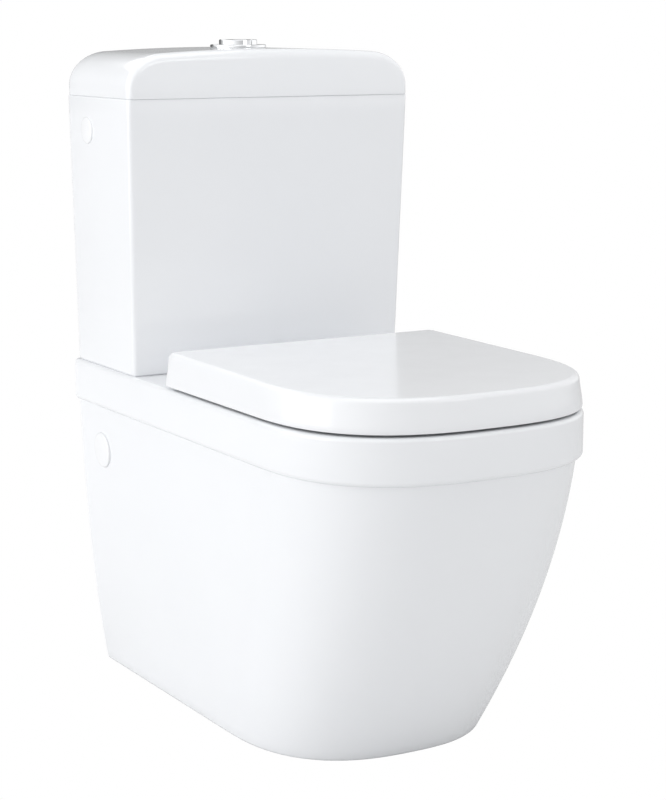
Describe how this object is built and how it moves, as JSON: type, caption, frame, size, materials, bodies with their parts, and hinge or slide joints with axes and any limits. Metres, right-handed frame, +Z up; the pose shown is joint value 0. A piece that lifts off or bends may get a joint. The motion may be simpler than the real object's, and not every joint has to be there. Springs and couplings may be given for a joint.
{
  "type": "close coupled toilet",
  "caption": "Close coupled toilet with a skirted back-to-wall china pan, a tapered cistern with dual flush buttons, and a hinged seat and wrap-over lid.",
  "frame": {"origin": "on the floor, below the centre of the part's bounding box", "axes": "+X to the right as seen by someone facing the front, +Y towards the wall behind it, +Z up"},
  "size_m": [0.3854, 0.66, 0.795],
  "materials": {
    "china": "gloss",
    "seat_plastic": "gloss",
    "cap_plastic": "gloss",
    "chrome": "polished",
    "steel": "satin",
    "white_plastic": "satin",
    "grey_plastic": "satin",
    "rubber": "matte"
  },
  "bodies": {
    "base": {"pan": "china", "cistern": "china", "cistern_side_caps": "cap_plastic", "pan_side_caps": "cap_plastic", "valve_base": "grey_plastic", "valve_tower": "white_plastic", "outlet_washer": "rubber", "outlet_nut": "grey_plastic", "coupling_gasket": "rubber", "coupling_bolts": "steel", "coupling_washers": "rubber", "coupling_nuts": "steel", "fill_valve_body": "grey_plastic", "inlet_washer": "rubber", "inlet_nut": "white_plastic", "hinge_posts": "chrome", "hinge_pins": "steel", "seat_bolts": "steel", "seat_washers": "rubber", "seat_nuts": "white_plastic", "wall_brackets": "steel", "side_screws": "steel"},
    "cistern_cover": {"cistern_lid": "china", "button_collar": "chrome", "collar_nut": "white_plastic"},
    "half_button": {"half_flush_button": "chrome", "half_flush_rod": "white_plastic"},
    "full_button": {"full_flush_button": "chrome", "full_flush_rod": "white_plastic"},
    "stem": {"valve_stem": "grey_plastic", "valve_seal": "rubber"},
    "half_lever": {"half_flush_lever": "grey_plastic"},
    "full_lever": {"full_flush_lever": "grey_plastic"},
    "float": {"fill_valve_float": "white_plastic", "fill_valve_link": "steel"},
    "float_arm": {"fill_valve_arm": "grey_plastic"},
    "seat_ring_body": {"seat_ring": "seat_plastic", "ring_buffers": "rubber"},
    "seat_lid_body": {"seat_lid": "seat_plastic", "lid_buffers": "rubber"}
  },
  "joints": [
    {"name": "seat_lid_hinge", "type": "hinge", "parent": "base", "child": "seat_lid_body", "pos_m": [0, 0.094, 0.421], "axis": [-1, 0, 0], "range_deg": [0, 94]},
    {"name": "seat_ring_hinge", "type": "hinge", "parent": "base", "child": "seat_ring_body", "pos_m": [0, 0.094, 0.421], "axis": [-1, 0, 0], "range_deg": [0, 90.5]},
    {"name": "cistern_lid_lift", "type": "slide", "parent": "base", "child": "cistern_cover", "axis": [0, 0, 1], "range_m": [0, 0.12]},
    {"name": "full_flush_press", "type": "slide", "parent": "cistern_cover", "child": "full_button", "axis": [0, 0, -1], "range_m": [0, 0.007], "stiffness_N_per_m": 300, "springref_m": -0.012},
    {"name": "half_flush_press", "type": "slide", "parent": "cistern_cover", "child": "half_button", "axis": [0, 0, -1], "range_m": [0, 0.007], "stiffness_N_per_m": 300, "springref_m": -0.012},
    {"name": "full_lever_tilt", "type": "hinge", "parent": "base", "child": "full_lever", "pos_m": [0.008, 0.2275, 0.656], "axis": [0, -1, 0], "range_deg": [0, 19.3]},
    {"name": "half_lever_tilt", "type": "hinge", "parent": "base", "child": "half_lever", "pos_m": [-0.008, 0.2475, 0.656], "axis": [0, 1, 0], "range_deg": [0, 19.3]},
    {"name": "stem_lift", "type": "slide", "parent": "base", "child": "stem", "axis": [0, 0, 1], "range_m": [0, 0.008]},
    {"name": "float_rise", "type": "slide", "parent": "base", "child": "float", "axis": [0, 0, 1], "range_m": [0, 0.012]},
    {"name": "float_arm_tilt", "type": "hinge", "parent": "base", "child": "float_arm", "pos_m": [0.1015, 0.267, 0.655], "axis": [0, -1, 0], "range_deg": [0, 15.3]}
  ],
  "couplings": [
    {"joint": "seat_ring_hinge", "follows": "seat_lid_hinge", "ratio": 0.96},
    {"joint": "full_lever_tilt", "follows": "full_flush_press", "rad_per_m": 47.373},
    {"joint": "stem_lift", "follows": "full_flush_press", "ratio": 1.1286},
    {"joint": "half_lever_tilt", "follows": "half_flush_press", "rad_per_m": 47.373},
    {"joint": "float_arm_tilt", "follows": "float_rise", "rad_per_m": 21.817}
  ]
}
